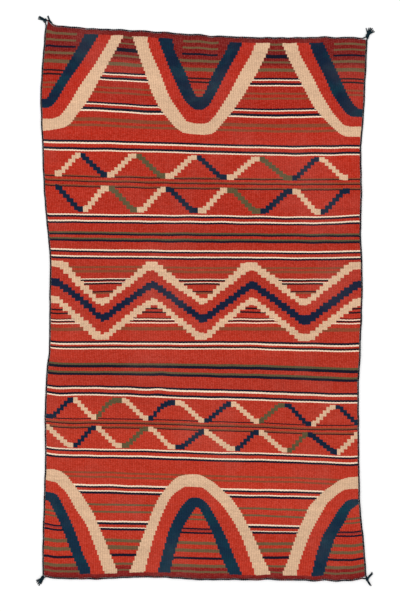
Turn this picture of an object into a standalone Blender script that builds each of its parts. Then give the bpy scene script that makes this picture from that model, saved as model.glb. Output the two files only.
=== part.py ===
"""Navajo rug lying flat: one tapestry-woven web, two end cords, two side cords and four corner tassels.

Metres, +Z up. The origin is under the middle of the whole rug, on the surface that it lies on.
+X is the right-hand side and +Y the top end of the rug as it is shown.
"""
import math

import bmesh
import bpy
from mathutils import Vector

MM = 0.001

# Driving dimensions
WEB_THICKNESS = 2.6 * MM
CORD_DIAMETER = 3.6 * MM
GAP = 0.3 * MM            # between the web and the cords beside it
KNOT_GAP = 0.4 * MM       # between a knot and the ends of the cords that meet it
CORD_STEP = 5.0 * MM      # half the length of one scallop of an end cord
CORD_NECK = 0.72          # an end cord's width between two scallops, as a share of its diameter
STRAND_WIDTH = 2.8 * MM   # a tassel's yarn
TIP_SHARE = 0.6           # a yarn's width at its tip, as a share of its width at the root
KNOT_RIDGE = 0.22         # depth of the grooves between a knot's turns, as a share of its half width
KNOT_SLANT = 4.0          # how far the grooves lean from its underside to its top, in radians

# The cells of the web's mesh, across and along
WEB_COLUMNS = 24
WEB_ROWS = 30

# The long edges of the web, in mm: height of the section, and where its left and right edges lie
SIDE_SECTIONS = (
    # height, left, right
    (-652, -383, 379),
    (-568, -383, 373),
    (-473, -380, 364),
    (-378, -377, 362),
    (-284, -378, 361),
    (-189, -375, 361),
    (-118, -368, 364),
    (1, -367, 369),
    (96, -366, 369),
    (191, -375, 366),
    (286, -382, 368),
    (381, -385, 367),
    (476, -388, 373),
    (571, -382, 378),
    (620, -378, 380),
    (647, -374, 381),
)

# The short ends of the web, in mm: place across, and where its bottom and top edges lie
END_SECTIONS = (
    # across, bottom, top
    (-375, -652, 665),
    (-361, -655, 653),
    (-344, -657, 650),
    (-256, -657, 643),
    (-130, -653, 637),
    (-2, -659, 628),
    (126, -659, 622),
    (251, -661, 623),
    (345, -661, 623),
    (381, -654, 620),
)

# Low cockles along the long edges, in mm: the underside rises off the surface there
COCKLES = (
    # side, height of the middle, length, rise
    ("left", 420, 190, 1.4),
    ("left", 60, 240, 1.1),
    ("left", -330, 200, 1.5),
    ("right", 260, 220, 1.2),
    ("right", -110, 180, 1.5),
    ("right", -470, 200, 1.2),
)
COCKLE_REACH = 75 * MM    # how far a cockle runs in from the edge

# The corner tassels, in mm: the knot's centre and half sizes, then the route of each yarn out of it
TASSELS = {
    "tassel_top_left": {
        "knot": (-381.0, 666.0),
        "half_sizes": (4.2, 4.8, 2.8),
        "yarns": (
            ((-383.0, 668.0), (-389.0, 670.2), (-396.6, 673.6)),
            ((-383.0, 666.0), (-389.0, 666.6), (-398.0, 668.8)),
            ((-379.5, 668.5), (-376.4, 671.6), (-373.6, 673.6), (-373.0, 677.4)),
        ),
    },
    "tassel_top_right": {
        "knot": (384.8, 628.2),
        "half_sizes": (3.4, 6.4, 2.6),
        "yarns": (
            ((384.2, 631.0), (383.6, 637.0), (380.4, 646.6)),
            ((385.2, 631.0), (387.0, 638.4), (390.4, 649.0)),
            ((386.0, 631.0), (390.8, 637.2), (397.2, 647.0)),
            ((386.2, 630.0), (392.6, 634.2), (402.2, 639.2)),
        ),
    },
    "tassel_bottom_left": {
        "knot": (-385.8, -657.2),
        "half_sizes": (3.6, 4.2, 2.6),
        "yarns": (
            ((-387.4, -657.4), (-393.6, -659.4), (-402.0, -662.6)),
            ((-387.2, -658.8), (-392.8, -663.4), (-400.6, -669.0)),
            ((-386.4, -659.4), (-389.6, -666.6), (-395.6, -676.6)),
            ((-385.4, -659.2), (-386.2, -664.6), (-389.2, -670.6)),
        ),
    },
    "tassel_bottom_right": {
        "knot": (383.6, -660.2),
        "half_sizes": (3.4, 4.8, 2.8),
        "yarns": (
            ((384.6, -658.6), (390.2, -651.4), (396.4, -644.0)),
            ((384.6, -662.6), (388.0, -668.0), (393.6, -676.6)),
        ),
    },
}

# The cords along the web's edges. Each leaves one knot, joins the edge a little past the web's corner, in mm,
# and leaves it again short of the next corner to meet the next knot
CORDS = (
    # name, edge, knot at its start, joins the edge at, leaves the edge at, knot at its end, scalloped
    ("side_cord_left", "left", "tassel_bottom_left", 2.0, 12.0, "tassel_top_left", False),
    ("end_cord_top", "top", "tassel_top_left", 0.0, 8.0, "tassel_top_right", True),
    ("side_cord_right", "right", "tassel_top_right", 2.0, 2.0, "tassel_bottom_right", False),
    ("end_cord_bottom", "bottom", "tassel_bottom_right", 8.0, 6.0, "tassel_bottom_left", True),
)

# Colours of the cloth and the yarn
RED_WOOL = (0.40, 0.045, 0.022, 1.0)
BLUE_WOOL = (0.010, 0.020, 0.040, 1.0)
WOOL_ROUGHNESS = 0.9


def clear_scene():
    """Removes whatever the file holds at the start."""
    for obj in list(bpy.data.objects):
        bpy.data.objects.remove(obj, do_unlink=True)


def wool(name, colour):
    """A matte wool material of one colour."""
    material = bpy.data.materials.new(name)
    material.use_nodes = True
    shader = material.node_tree.nodes["Principled BSDF"]
    shader.inputs["Base Color"].default_value = colour
    shader.inputs["Roughness"].default_value = WOOL_ROUGHNESS
    shader.inputs["Metallic"].default_value = 0.0
    return material


def smooth_between(sections, place, column):
    """Reads a column of a table of sections at a place in mm, with a smooth curve through its rows."""
    if place <= sections[0][0]:
        return sections[0][column]
    if place >= sections[-1][0]:
        return sections[-1][column]
    row = max(i for i in range(len(sections) - 1) if sections[i][0] <= place)
    slopes = []
    for i in (row, row + 1):
        before, after = sections[max(i - 1, 0)], sections[min(i + 1, len(sections) - 1)]
        slopes.append((after[column] - before[column]) / (after[0] - before[0]))
    start, end = sections[row], sections[row + 1]
    span = end[0] - start[0]
    t = (place - start[0]) / span
    return ((2 * t**3 - 3 * t**2 + 1) * start[column] + (t**3 - 2 * t**2 + t) * span * slopes[0]
            + (3 * t**2 - 2 * t**3) * end[column] + (t**3 - t**2) * span * slopes[1])


def web_place(across, along):
    """The place on the surface of a point of the web, from its shares of the width and the length."""
    height = SIDE_SECTIONS[0][0] + along * (SIDE_SECTIONS[-1][0] - SIDE_SECTIONS[0][0])
    left = smooth_between(SIDE_SECTIONS, height, 1)
    right = smooth_between(SIDE_SECTIONS, height, 2)
    x = left + across * (right - left)
    bottom = smooth_between(END_SECTIONS, x, 1)
    top = smooth_between(END_SECTIONS, x, 2)
    return x * MM, (bottom + along * (top - bottom)) * MM


def rise(x, y):
    """How far the underside stands off the surface at a place."""
    height = 0.0
    for side, middle, length, amount in COCKLES:
        column = 1 if side == "left" else 2
        edge = smooth_between(SIDE_SECTIONS, y / MM, column) * MM
        inward = max(0.0, (x - edge) * (1 if side == "left" else -1))
        from_middle = abs(y - middle * MM) / (length * MM / 2)
        if inward < COCKLE_REACH and from_middle < 1:
            along = math.cos(math.pi / 2 * from_middle) ** 2
            height += amount * MM * along * (1 - inward / COCKLE_REACH) ** 2
    return height


def column_share(column):
    """The share of the width at a column of the mesh. Columns are closer together near the corners."""
    return 0.5 - 0.5 * math.cos(math.pi * column / WEB_COLUMNS)


def in_collection(obj, collection):
    """Moves an object into the rug's collection."""
    for other in list(obj.users_collection):
        other.objects.unlink(obj)
    collection.objects.link(obj)


def make_web(collection, material):
    """The web: a grid laid on the rug's outline, thickened upwards from its underside."""
    bpy.ops.mesh.primitive_grid_add(x_subdivisions=WEB_COLUMNS, y_subdivisions=WEB_ROWS, size=1.0)
    web = bpy.context.object
    web.name = web.data.name = "tapestry_web"
    for vertex in web.data.vertices:
        column = round((vertex.co.x + 0.5) * WEB_COLUMNS)
        x, y = web_place(column_share(column), vertex.co.y + 0.5)
        vertex.co = (x, y, rise(x, y))
    thickness = web.modifiers.new("thickness", "SOLIDIFY")
    thickness.thickness = WEB_THICKNESS
    thickness.offset = 1.0
    web.data.materials.append(material)
    in_collection(web, collection)


def set_off(line, distance):
    """A line of places moved sideways, to its left, by a distance, with its corners mitred."""
    moved = []
    for i, place in enumerate(line):
        ahead = (line[min(i + 1, len(line) - 1)] - line[min(i, len(line) - 2)]).normalized()
        behind = (line[max(i, 1)] - line[max(i, 1) - 1]).normalized()
        bisector = Vector((-(ahead.y + behind.y), ahead.x + behind.x)).normalized()
        mitre = distance / bisector.dot(Vector((-ahead.y, ahead.x)))
        moved.append(place + bisector * mitre)
    return moved


def knot_reach(knot, towards):
    """How far a knot reaches from its middle in the direction of a place."""
    centre = Vector(TASSELS[knot]["knot"]) * MM
    half_x, half_y, _ = TASSELS[knot]["half_sizes"]
    direction = (towards - centre).normalized()
    return MM / math.hypot(direction.x / half_x, direction.y / half_y)


def shortened(line, length):
    """A line of places with a length cut off its start."""
    while (line[1] - line[0]).length <= length:
        length -= (line[1] - line[0]).length
        line = line[1:]
    return [line[0] + (line[1] - line[0]).normalized() * length] + line[1:]


def cut_at_knot(line, knot):
    """A line of places that starts at a knot's middle, cut back to the gap in front of the knot."""
    start = line[0] + (line[1] - line[0]).normalized() * (knot_reach(knot, line[1]) + KNOT_GAP)
    return [start] + line[1:]


def in_steps(line, step):
    """A line of places with each stretch divided into even steps of about the given length."""
    divided = [line[0]]
    for start, end in zip(line, line[1:]):
        count = max(1, round((end - start).length / step))
        divided += [start.lerp(end, k / count) for k in range(1, count + 1)]
    return divided


def make_cord(name, line, necks, collection, material):
    """A cord lying along a line of places: a round tube with flat ends. Necks make it scalloped."""
    radius = CORD_DIAMETER / 2
    curve = bpy.data.curves.new(name, "CURVE")
    curve.dimensions = "3D"
    curve.twist_mode = "Z_UP"
    curve.bevel_depth = radius
    curve.bevel_resolution = 2
    curve.use_fill_caps = True
    spline = curve.splines.new("POLY")
    spline.points.add(len(line) - 1)
    for i, (point, place) in enumerate(zip(spline.points, line)):
        point.co = (place.x, place.y, rise(place.x, place.y) + radius, 1.0)
        point.radius = CORD_NECK if necks and i % 2 else 1.0
    curve.materials.append(material)
    cord = bpy.data.objects.new(name, curve)
    collection.objects.link(cord)


def web_edge(name):
    """One edge of the web's underside as a line of places, with the outside on its left."""
    ups = [Vector(web_place(0.0, i / WEB_ROWS)) for i in range(WEB_ROWS + 1)]
    rights = [Vector(web_place(column_share(i), 1.0)) for i in range(WEB_COLUMNS + 1)]
    downs = [Vector(web_place(1.0, 1 - i / WEB_ROWS)) for i in range(WEB_ROWS + 1)]
    lefts = [Vector(web_place(column_share(WEB_COLUMNS - i), 0.0)) for i in range(WEB_COLUMNS + 1)]
    return {"left": ups, "top": rights, "right": downs, "bottom": lefts}[name]


def make_cords(collection, material):
    """The four cords along the edges of the web, each from knot to knot."""
    for name, edge, first, joins, leaves, last, scalloped in CORDS:
        line = shortened(set_off(web_edge(edge), CORD_DIAMETER / 2 + GAP), joins * MM)
        line = shortened(line[::-1], leaves * MM)[::-1]
        line = [Vector(TASSELS[first]["knot"]) * MM] + line + [Vector(TASSELS[last]["knot"]) * MM]
        line = cut_at_knot(line, first)
        line = cut_at_knot(line[::-1], last)[::-1]
        if scalloped:
            line = in_steps(line, CORD_STEP)
        make_cord(name, line, scalloped, collection, material)


def mesh_of_yarn(route, root_height):
    """A yarn of four sides along a route in mm, as a mesh with welded caps. It leaves the middle of the knot,
    comes down to the surface and lies flat on it."""
    half = STRAND_WIDTH / 2
    curve = bpy.data.curves.new("yarn", "CURVE")
    curve.dimensions = "3D"
    curve.twist_mode = "Z_UP"
    curve.bevel_depth = half * math.sqrt(2)
    curve.bevel_resolution = 0
    curve.use_fill_caps = True
    spline = curve.splines.new("POLY")
    spline.points.add(len(route) - 1)
    for i, (point, (x, y)) in enumerate(zip(spline.points, route)):
        share = 1 - (1 - TIP_SHARE) * i / (len(route) - 1)
        point.co = (x * MM, y * MM, half * share if i else root_height, 1.0)
        point.radius = share
        point.tilt = math.pi / 4
    obj = bpy.data.objects.new("yarn", curve)
    bpy.context.scene.collection.objects.link(obj)
    bpy.context.view_layer.update()
    mesh = bpy.data.meshes.new_from_object(obj.evaluated_get(bpy.context.evaluated_depsgraph_get()))
    bpy.data.objects.remove(obj, do_unlink=True)
    shape = bmesh.new()
    shape.from_mesh(mesh)
    bmesh.ops.remove_doubles(shape, verts=shape.verts, dist=0.00001)
    bmesh.ops.recalc_face_normals(shape, faces=shape.faces)
    shape.to_mesh(mesh)
    shape.free()
    return mesh


def make_tassel(name, sizes, collection, cutters, material):
    """A corner tassel: a knot with its yarns joined into it by Boolean unions."""
    knot_x, knot_y = sizes["knot"]
    half_x, half_y, half_z = sizes["half_sizes"]
    bpy.ops.mesh.primitive_uv_sphere_add(segments=16, ring_count=8, radius=1.0)
    knot = bpy.context.object
    knot.name = knot.data.name = name
    for vertex in knot.data.vertices:
        turn = math.atan2(vertex.co.y, vertex.co.x)
        lie = 1 - KNOT_RIDGE * (0.5 + 0.5 * math.cos(2 * turn + KNOT_SLANT * vertex.co.z))
        vertex.co.x = (knot_x + half_x * lie * vertex.co.x) * MM
        vertex.co.y = (knot_y + half_y * lie * vertex.co.y) * MM
        vertex.co.z = half_z * (1 + vertex.co.z) * MM
    knot.data.materials.append(material)
    in_collection(knot, collection)
    for number, route in enumerate(sizes["yarns"], 1):
        yarn = bpy.data.objects.new(f"{name}_yarn_{number}", mesh_of_yarn(route, half_z * MM))
        yarn.data.materials.append(material)
        yarn.hide_render = True
        yarn.display_type = "WIRE"
        cutters.objects.link(yarn)
        union = knot.modifiers.new(f"yarn {number}", "BOOLEAN")
        union.operation = "UNION"
        union.solver = "EXACT"
        union.object = yarn


def main():
    clear_scene()
    rug = bpy.data.collections.new("navajo_rug")
    cutters = bpy.data.collections.new("cutters")
    bpy.context.scene.collection.children.link(rug)
    bpy.context.scene.collection.children.link(cutters)
    red = wool("red wool", RED_WOOL)
    blue = wool("dark blue wool", BLUE_WOOL)
    make_web(rug, red)
    make_cords(rug, blue)
    for name, sizes in TASSELS.items():
        make_tassel(name, sizes, rug, cutters, blue)


main()
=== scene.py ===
"""Looks of a Navajo rug lying flat: tapestry-woven web, twisted edge cords and knotted corner tassels.

The pattern is charted in warps, counted from the left edge, and in millimetres of cloth, counted from
the bottom end. It belongs to the cloth through the map "weave", so it shows on both faces.
"""
import math

import bpy
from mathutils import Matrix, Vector, noise


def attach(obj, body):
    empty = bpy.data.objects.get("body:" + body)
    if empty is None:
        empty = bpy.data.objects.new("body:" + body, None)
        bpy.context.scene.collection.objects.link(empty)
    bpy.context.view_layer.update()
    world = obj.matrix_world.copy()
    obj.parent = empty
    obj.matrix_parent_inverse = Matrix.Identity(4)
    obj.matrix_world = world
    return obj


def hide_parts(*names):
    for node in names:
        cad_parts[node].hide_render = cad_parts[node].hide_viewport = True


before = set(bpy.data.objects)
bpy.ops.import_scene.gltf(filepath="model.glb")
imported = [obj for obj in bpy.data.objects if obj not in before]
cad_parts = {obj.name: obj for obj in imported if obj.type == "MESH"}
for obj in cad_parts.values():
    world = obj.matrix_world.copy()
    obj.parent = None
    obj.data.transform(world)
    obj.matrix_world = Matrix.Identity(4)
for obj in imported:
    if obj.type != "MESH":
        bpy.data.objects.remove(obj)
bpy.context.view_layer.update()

MM = 0.001

# The cloth
WARPS = 180
CLOTH_LENGTH = 1287.0     # mm of weaving from the bottom end to the top end
WEB_THICKNESS = 2.6 * MM
RIB_SHARE = 0.7           # the web's thickness between two warps, as a share of its thickness over a warp
RIM_SHARE = 0.6           # the same at its edges
ROWS = 130                # of the web's mesh, along the cloth
FLAT_SIZE = (0.765, 1.310)

# The web's long edges, in mm: height of the section, and where its left and right edges lie
SIDE_SECTIONS = (
    # height, left, right
    (-652, -383, 379),
    (-568, -383, 373),
    (-473, -380, 364),
    (-378, -377, 362),
    (-284, -378, 361),
    (-189, -375, 361),
    (-118, -368, 364),
    (1, -367, 369),
    (96, -366, 369),
    (191, -375, 366),
    (286, -382, 368),
    (381, -385, 367),
    (476, -388, 373),
    (571, -382, 378),
    (620, -378, 380),
    (647, -374, 381),
)

# The web's short ends, in mm: place across, and where its bottom and top edges lie
END_SECTIONS = (
    # across, bottom, top
    (-375, -652, 665),
    (-361, -655, 653),
    (-344, -657, 650),
    (-256, -657, 643),
    (-130, -653, 637),
    (-2, -659, 628),
    (126, -659, 622),
    (251, -661, 623),
    (345, -661, 623),
    (381, -654, 620),
)
EAR_FROM = -344           # the top left corner runs out into an ear from here
EAR_SLOPE = 0.08          # the top edge's own slope there, without the ear
EAR_PICKS = 0.985         # the share of the length from which the weft climbs into the ear

# Hand work: how far the edges, the weft and the warp wander, and over what length
SIDE_WANDER = 1.2 * MM
END_WANDER = 2.6 * MM
EDGE_WANDER_LENGTH = 27 * MM
WEFT_WANDER = 1.1         # mm
WEFT_WANDER_LENGTH = 45 * MM
WARP_WANDER = 0.0009      # share of the width
SIDE_WANDER_FADE = 12     # how fast each wander dies away from its own edge, as a power
END_WANDER_FADE = 14
CORNER_FADE = 40          # and how near the corners it stops
BEAT_UNEVEN = 0.06        # share of the thickness by which the beating differs from place to place

# Small humps in the weft: warp, height in mm of cloth, half width in warps, half height and rise in mm
HUMPS = (
    (65, 440, 7, 16, 3.0),
    (66, 482, 7, 14, 2.5),
)

# How the weft waves, in mm: height in the cloth, then how far the weft lies above or below a straight run
# at each of the shares of the width
WAVE_SHARES = (0, 0.1667, 0.3333, 0.5, 0.6667, 0.8333, 1)
WEFT_WAVES = (
    (0, 0, 0, 0, 0, 0, 0, 0),
    (18, -2, 0, -1, 0, -1, -1, 0),
    (49, -1, 2, -3, 0, -3, 1, -3),
    (85, 2, 4, -3, 0, -2, 0, -5),
    (121, 4, 3, -2, 0, -2, -3, -6),
    (150, 4, 3, -2, 0, -2, -5, -7),
    (212, 5, 4, -2, 0, -2, -3, -8),
    (291, 2, 2, -2, 0, -1, -4, -9),
    (362, -1, 1, -2, 0, -1, -5, -6),
    (437, -2, 2, -3, 0, -1, -5, -8),
    (503, -7, -4, -5, 0, 0, -3, -8),
    (552, -11, -7, -7, 0, 2, -1, -2),
    (660, -16, -8, -7, 0, 3, 4, 3),
    (769, -10, -7, -6, 0, 3, 2, 4),
    (810, -11, -7, -7, 0, 3, 2, 2),
    (853, -13, -8, -7, 0, 2, 1, 5),
    (905, -10, -7, -6, 0, 3, 1, 2),
    (938, -10, -6, -6, 0, 3, 2, 3),
    (980, -12, -7, -5, 0, 2, 1, 3),
    (1019, -11, -5, -4, 0, 2, 0, 2),
    (1065, -11, -3, -5, 0, 1, 0, 2),
    (1118, -7, -1, -4, 0, 1, 1, 4),
    (1184, -2, 2, 0, 0, 6, 5, 5),
    (1243, -3, 1, -2, 0, 2, 1, 5),
    (1287, 0, 0, 0, 0, 0, 0, 0),
)

# Low cockles along the long edges, in mm: the underside rises off the floor there
COCKLES = (
    # side, height of the middle, length, rise
    ("left", 420, 190, 1.4),
    ("left", 60, 240, 1.1),
    ("left", -330, 200, 1.5),
    ("right", 260, 220, 1.2),
    ("right", -110, 180, 1.5),
    ("right", -470, 200, 1.2),
)
COCKLE_REACH = 75 * MM

# The edge cords: two strands twisted together
CORD_DIAMETER = 3.6 * MM
CORD_CLEAR = 0.15 * MM    # under the cords, for their thicker places
GAP = 0.3 * MM            # between the web and the cords beside it
STRAND_RADIUS = 0.95 * MM
END_TWIST = 10.0 * MM     # length of one turn of the strands
SIDE_TWIST = 7.0 * MM
TURN_STEPS = 10           # straight pieces to one turn
SPUN_UNEVEN = 0.22        # how much a strand's radius differs along it, as a share
EDGE_STEPS = 120          # of the line that a cord follows
CORDS = (
    # CAD node, edge, knot at its start, joins the edge at, leaves it at, knot at its end, twist
    ("side_cord_left", "left", "bottom_left", 2.0, 12.0, "top_left", SIDE_TWIST),
    ("end_cord_top", "top", "top_left", 0.0, 8.0, "top_right", END_TWIST),
    ("side_cord_right", "right", "top_right", 2.0, 2.0, "bottom_right", SIDE_TWIST),
    ("end_cord_bottom", "bottom", "bottom_right", 8.0, 6.0, "bottom_left", END_TWIST),
)

# The corner tassels, in mm: the knot's centre and half sizes, then the route of each yarn out of it
TASSELS = {
    "top_left": {
        "knot": (-381.2, 665.8),
        "half_sizes": (5.6, 6.0, 2.8),
        "yarns": (
            ((-384.0, 668.0), (-389.6, 670.6), (-396.8, 673.8)),
            ((-384.0, 666.4), (-389.6, 668.0), (-397.6, 669.6)),
            ((-383.4, 669.0), (-388.6, 672.4), (-394.4, 676.0)),
            ((-364.6, 659.6), (-369.4, 664.8), (-371.6, 670.6), (-373.2, 677.2)),
            ((-366.0, 661.6), (-370.6, 667.0), (-372.8, 671.6), (-375.0, 676.2)),
        ),
    },
    "top_right": {
        "knot": (384.8, 628.6),
        "half_sizes": (4.8, 7.4, 2.8),
        "yarns": (
            ((384.4, 631.0), (384.4, 638.0), (381.4, 647.6)),
            ((385.0, 631.0), (386.6, 638.6), (388.4, 648.6)),
            ((385.4, 631.0), (388.4, 638.6), (392.6, 648.4)),
            ((385.6, 631.0), (390.4, 638.4), (396.8, 647.6)),
            ((386.0, 630.6), (391.8, 636.8), (399.4, 643.0)),
            ((386.0, 630.0), (392.6, 635.4), (401.8, 639.4)),
        ),
    },
    "bottom_left": {
        "knot": (-385.6, -656.6),
        "half_sizes": (5.0, 5.4, 2.8),
        "yarns": (
            ((-387.2, -657.4), (-393.6, -660.4), (-401.6, -664.0)),
            ((-387.2, -658.2), (-393.2, -662.8), (-401.0, -668.0)),
            ((-387.0, -658.8), (-391.6, -664.8), (-398.6, -672.4)),
            ((-386.4, -659.4), (-390.2, -666.6), (-395.4, -676.2)),
            ((-385.8, -659.4), (-387.6, -665.6), (-390.4, -672.0)),
        ),
    },
    "bottom_right": {
        "knot": (383.8, -659.6),
        "half_sizes": (4.6, 6.0, 2.8),
        "yarns": (
            ((384.8, -657.6), (390.2, -651.4), (396.4, -644.2)),
            ((385.8, -658.8), (391.4, -653.2), (397.4, -647.2)),
            ((385.0, -662.6), (388.6, -668.4), (393.6, -676.4)),
            ((383.6, -662.8), (386.8, -669.0), (391.2, -675.4)),
        ),
    },
}
YARN_RADIUS = 1.9 * MM
PLY_RADIUS = 1.05 * MM
PLY_THINS = 0.55          # share of its radius that a ply loses by the yarn's end
KNOT_PLY = 1.15           # a ply's radius in the knot, as a share of its own
KNOT_TURN = 5 * MM        # length of one turn of the plies in the knot, and in the yarn ends
YARN_TURN = 6 * MM
KNOT_STEPS = 60
HAIR_RADIUS = 0.16 * MM
HAIRS = 9                 # at the end of one yarn
HAIR_STEPS = 5
FRAY_FROM = 0.55          # share of the yarn's length at which it begins to fray
FRAY_SPREAD = 1.5         # mm to each side at the tips
CORE_RADIUS = 2.4 * MM    # of the wool that fills the middle of a knot
CORE = ((-2.4, 0.5), (-1.2, 0.85), (0.0, 1.0), (1.2, 0.85), (2.4, 0.5))    # mm from its middle, share


# Where things lie

def smooth_between(sections, place, column):
    """Reads a column of a table of sections at a place in mm, with a smooth curve through its rows."""
    if place <= sections[0][0]:
        return sections[0][column]
    if place >= sections[-1][0]:
        return sections[-1][column]
    row = max(i for i in range(len(sections) - 1) if sections[i][0] <= place)
    slopes = []
    for i in (row, row + 1):
        before, after = sections[max(i - 1, 0)], sections[min(i + 1, len(sections) - 1)]
        slopes.append((after[column] - before[column]) / (after[0] - before[0]))
    start, end = sections[row], sections[row + 1]
    span = end[0] - start[0]
    t = (place - start[0]) / span
    return ((2 * t**3 - 3 * t**2 + 1) * start[column] + (t**3 - 2 * t**2 + t) * span * slopes[0]
            + (3 * t**2 - 2 * t**3) * end[column] + (t**3 - t**2) * span * slopes[1])


def web_place(across, along):
    """The place on the floor of a point of the web, from its shares of the width and the length."""
    height = SIDE_SECTIONS[0][0] + along * (SIDE_SECTIONS[-1][0] - SIDE_SECTIONS[0][0])
    left = smooth_between(SIDE_SECTIONS, height, 1)
    right = smooth_between(SIDE_SECTIONS, height, 2)
    x = left + across * (right - left)
    bottom = smooth_between(END_SECTIONS, x, 1)
    top = smooth_between(END_SECTIONS, x, 2)
    y = bottom + along * (top - bottom)
    to_side, to_end = abs(2 * across - 1), abs(2 * along - 1)
    aside = noise.noise(Vector((3.7, y * MM / EDGE_WANDER_LENGTH, round(across))))
    aside *= to_side**SIDE_WANDER_FADE * max(0.0, 1 - to_end**CORNER_FADE)
    ahead = noise.noise(Vector((x * MM / EDGE_WANDER_LENGTH, 9.1, round(along))))
    ahead *= to_end**END_WANDER_FADE * max(0.0, 1 - to_side**CORNER_FADE)
    return x * MM + SIDE_WANDER * aside, y * MM + END_WANDER * ahead


def rise(x, y):
    """How far the underside stands off the floor at a place."""
    height = 0.0
    for side, middle, length, amount in COCKLES:
        column = 1 if side == "left" else 2
        edge = smooth_between(SIDE_SECTIONS, y / MM, column) * MM
        inward = max(0.0, (x - edge) * (1 if side == "left" else -1))
        from_middle = abs(y - middle * MM) / (length * MM / 2)
        if inward < COCKLE_REACH and from_middle < 1:
            along = math.cos(math.pi / 2 * from_middle) ** 2
            height += amount * MM * along * (1 - inward / COCKLE_REACH) ** 2
    return height


def ear_height(x):
    """How far the top left corner's ear stands above the plain run of the top edge, in mm, at a place."""
    if x >= EAR_FROM:
        return 0.0
    plain = smooth_between(END_SECTIONS, EAR_FROM, 2) + EAR_SLOPE * (EAR_FROM - x)
    return smooth_between(END_SECTIONS, x, 2) - plain


def waves_at(along):
    """The weft's wave at one share of the length, as sections across the cloth."""
    height = along * CLOTH_LENGTH
    return [(share, smooth_between(WEFT_WAVES, height, i + 1)) for i, share in enumerate(WAVE_SHARES)]


def woven_share(across, along, waves):
    """The share of the length at which a pick really lies, once the weft's waves and the ear are counted."""
    shift = smooth_between(waves, across, 1)
    for warp, height, half_width, half_height, amount in HUMPS:
        away = math.hypot((across * WARPS - warp) / half_width, (along * CLOTH_LENGTH - height) / half_height)
        if away < 1:
            shift += amount * math.cos(math.pi / 2 * away) ** 2
    wander = noise.noise(Vector((across * FLAT_SIZE[0], along * FLAT_SIZE[1], 0.5)) / WEFT_WANDER_LENGTH)
    shift += WEFT_WANDER * wander * min(1.0, 25 * along * (1 - along))
    x = web_place(across, along)[0] / MM
    climb = max(0.0, (along - EAR_PICKS) / (1 - EAR_PICKS))
    shift -= ear_height(x) * (along - climb**2)
    return along + shift / CLOTH_LENGTH


# Modelling

def deselect():
    bpy.ops.object.select_all(action="DESELECT")


def select_only(*objects):
    deselect()
    for obj in objects:
        obj.select_set(True)
    bpy.context.view_layer.objects.active = objects[0]


def apply_modifier(obj, name):
    select_only(obj)
    bpy.ops.object.modifier_apply(modifier=name)


def make_web():
    """The web: a grid with two columns to a warp, laid on the rug's outline and ribbed over its warps."""
    deselect()
    columns = 2 * WARPS
    bpy.ops.mesh.primitive_grid_add(x_subdivisions=columns, y_subdivisions=ROWS, size=1.0)
    web = bpy.context.object
    web.name = web.data.name = "woven_web"
    web.data.uv_layers[0].name = "weave"
    waves = [waves_at(j / ROWS) for j in range(ROWS + 1)]
    ribs = web.vertex_groups.new(name="ribs")
    for vertex in web.data.vertices:
        column = round((vertex.co.x + 0.5) * columns)
        row = round((vertex.co.y + 0.5) * ROWS)
        across = column / columns
        along = woven_share(across, row / ROWS, waves[row])
        wander = noise.noise(Vector((across * FLAT_SIZE[0], along * FLAT_SIZE[1], 7.5)) / WEFT_WANDER_LENGTH)
        x, y = web_place(across + WARP_WANDER * wander * min(1.0, 12 * across * (1 - across)), along)
        vertex.co = (x, y, rise(x, y) + WEB_THICKNESS / 2)
        on_warp = column % 2 == 1
        at_rim = column in (0, columns) or row in (0, ROWS)
        share = RIM_SHARE if at_rim else 1.0 if on_warp else RIB_SHARE
        beat = noise.noise(Vector((x, y, 0.0)) * 60)
        ribs.add([vertex.index], min(1.0, share + BEAT_UNEVEN * (beat - 0.5)), "REPLACE")
    body = web.modifiers.new("body", "SOLIDIFY")
    body.thickness = WEB_THICKNESS
    body.offset = 0.0
    body.vertex_group = "ribs"
    body.thickness_vertex_group = 0.0
    apply_modifier(web, "body")
    bpy.ops.object.shade_smooth()
    web.vertex_groups.clear()
    return web


def set_off(line, distance):
    """A line of places moved sideways, to its left, by a distance, with its corners mitred."""
    moved = []
    for i, place in enumerate(line):
        ahead = (line[min(i + 1, len(line) - 1)] - line[min(i, len(line) - 2)]).normalized()
        behind = (line[max(i, 1)] - line[max(i, 1) - 1]).normalized()
        bisector = Vector((-(ahead.y + behind.y), ahead.x + behind.x)).normalized()
        mitre = distance / bisector.dot(Vector((-ahead.y, ahead.x)))
        moved.append(place + bisector * mitre)
    return moved


def shortened(line, length):
    """A line of places with a length cut off its start."""
    while (line[1] - line[0]).length <= length:
        length -= (line[1] - line[0]).length
        line = line[1:]
    return [line[0] + (line[1] - line[0]).normalized() * length] + line[1:]


def in_even_steps(line, step):
    """A line of places walked in even steps."""
    lengths = [0.0]
    for start, end in zip(line, line[1:]):
        lengths.append(lengths[-1] + (end - start).length)
    count = max(2, round(lengths[-1] / step))
    walked, piece = [], 0
    for k in range(count + 1):
        target = lengths[-1] * k / count
        while piece < len(line) - 2 and lengths[piece + 1] < target:
            piece += 1
        share = (target - lengths[piece]) / (lengths[piece + 1] - lengths[piece])
        walked.append(line[piece].lerp(line[piece + 1], min(1.0, share)))
    return walked


def eased(line, passes):
    """A line of places with its corners eased, and its ends kept."""
    for _ in range(passes):
        middle = [(a + 2 * b + c) / 4 for a, b, c in zip(line, line[1:], line[2:])]
        line = [line[0]] + middle + [line[-1]]
    return line


def web_edge(name):
    """One edge of the web's underside as a line of places, with the outside on its left."""
    steps = [i / EDGE_STEPS for i in range(EDGE_STEPS + 1)]
    return {
        "left": [Vector(web_place(0.0, s)) for s in steps],
        "top": [Vector(web_place(s, 1.0)) for s in steps],
        "right": [Vector(web_place(1.0, 1 - s)) for s in steps],
        "bottom": [Vector(web_place(1 - s, 0.0)) for s in steps],
    }[name]


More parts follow.
